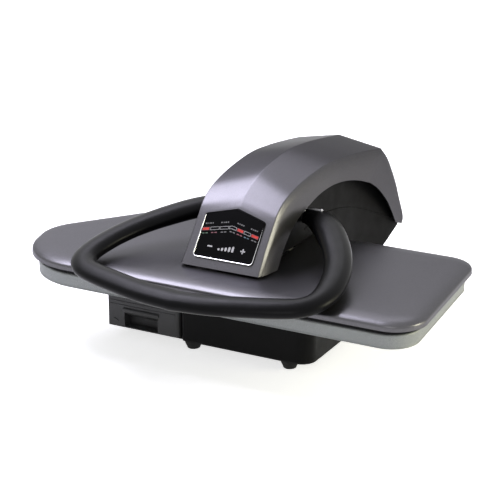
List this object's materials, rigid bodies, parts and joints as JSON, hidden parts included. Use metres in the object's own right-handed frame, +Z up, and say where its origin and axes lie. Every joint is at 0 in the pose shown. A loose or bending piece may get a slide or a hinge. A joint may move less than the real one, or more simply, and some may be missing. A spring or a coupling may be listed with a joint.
{
  "type": "steam ironing press",
  "caption": "Tabletop steam ironing press: padded board on a base with a water tank, heated shoe on a sprung arched arm, loop handle that lowers and locks it.",
  "frame": {"origin": "middle of the footprint's bounding box, at the plane the feet stand on", "axes": "+X along the board to its square end, with the tapered end towards -X; the handle and panel face -Y; +Z up"},
  "size_m": [0.619, 0.6112, 0.2637],
  "materials": {
    "pewter_cover": "metallic pewter paint, satin",
    "shoe_paint": "metallic pewter paint, satin",
    "tray_grey": "pale grey-green, matt",
    "black_plastic": "matt black, fine grain",
    "handle_black": "satin black",
    "tank_grey": "dark charcoal, satin",
    "smoke_plastic": "smoke tinted",
    "zinc_steel": "zinc plated",
    "spring_steel": "dark steel",
    "bottom_steel": "black painted sheet",
    "cast_aluminium": "satin",
    "bright_trim": "bright",
    "panel_black": "glossy black",
    "rubber": "matt",
    "pad_cloth": "heat-proof woven cover",
    "circuit_green": "circuit board",
    "insulation": "glass-fibre felt",
    "silicone": "translucent silicone",
    "bronze": "bearing bronze"
  },
  "bodies": {
    "base": {"board_tray": "tray_grey", "board_plate": "cast_aluminium", "board_pad": "pad_cloth", "base_shell": "black_plastic", "bottom_plate": "bottom_steel", "foot_front_left": "rubber", "foot_front_right": "rubber", "foot_rear_left": "rubber", "foot_rear_right": "rubber", "hinge_tower": "black_plastic", "hinge_bracket": "zinc_steel", "hinge_axle": "zinc_steel", "anchor_pin": "zinc_steel", "axle_clip_left": "zinc_steel", "axle_clip_right": "zinc_steel", "lift_spring_left": "spring_steel", "lift_spring_right": "spring_steel", "tank_dock": "rubber", "water_pump": "spring_steel", "pump_hose": "silicone", "control_board": "circuit_green", "cord_gland": "rubber", "switch_frame": "black_plastic", "switch_body": "panel_black"},
    "upper": {"shoe_cover": "shoe_paint", "sole_plate": "cast_aluminium", "heater_element": "spring_steel", "insulation": "insulation", "thermostat": "bronze", "thermal_fuse": "insulation", "shoe_mount": "cast_aluminium", "arch_cover": "pewter_cover", "arch_liner": "black_plastic", "arm_plate_left": "zinc_steel", "arm_plate_right": "zinc_steel", "hinge_bush_left": "bronze", "hinge_bush_right": "bronze", "arm_yoke": "zinc_steel", "arm_spacer_front": "zinc_steel", "arm_spacer_rear": "zinc_steel", "steam_hose": "silicone", "panel_frame": "bright_trim", "panel_glass": "panel_black", "indicator_strip": "panel_black", "panel_board": "circuit_green"},
    "handle": {"handle_grip": "handle_black", "handle_shaft": "zinc_steel", "handle_collar_left": "bright_trim", "handle_collar_right": "bright_trim", "crank": "zinc_steel"},
    "lock_link": {"lock_link": "zinc_steel"},
    "tank": {"tank_fascia": "tank_grey", "tank_vessel": "smoke_plastic", "tank_lid": "tank_grey", "tank_nozzle": "rubber"},
    "tank_cap": {"tank_cap": "black_plastic"},
    "power_rocker": {"power_rocker": "black_plastic"}
  },
  "joints": [
    {"name": "press_open", "type": "hinge", "parent": "base", "child": "upper", "pos_m": [0.00559, 0.21465, 0.08], "axis": [-1, 0, 0], "range_deg": [0, 45], "stiffness_Nm_per_rad": 7.9, "springref_deg": 116.31},
    {"name": "handle_lift", "type": "hinge", "parent": "upper", "child": "handle", "pos_m": [0.00559, -0.02335, 0.191], "axis": [-1, 0, 0], "range_deg": [0, 28]},
    {"name": "link_swing", "type": "hinge", "parent": "handle", "child": "lock_link", "pos_m": [0.00559, -0.02335, 0.169], "axis": [-1, 0, 0], "range_deg": [-26.5, 0]},
    {"name": "tank_slide", "type": "slide", "parent": "base", "child": "tank", "axis": [-1, 0, 0], "range_m": [0, 0.13]},
    {"name": "tank_cap_turn", "type": "hinge", "parent": "tank", "child": "tank_cap", "pos_m": [-0.19891, -0.0577, 0.06388], "axis": [-1, 0, 0], "range_deg": [0, 90]},
    {"name": "power_rock", "type": "hinge", "parent": "base", "child": "power_rocker", "pos_m": [0.05359, 0.2527, 0.02715], "axis": [0, 0, 1], "range_deg": [0, 12]}
  ],
  "couplings": [
    {"joint": "handle_lift", "follows": "press_open", "ratio": 0.6222},
    {"joint": "link_swing", "follows": "press_open", "ratio": -0.5888}
  ]
}
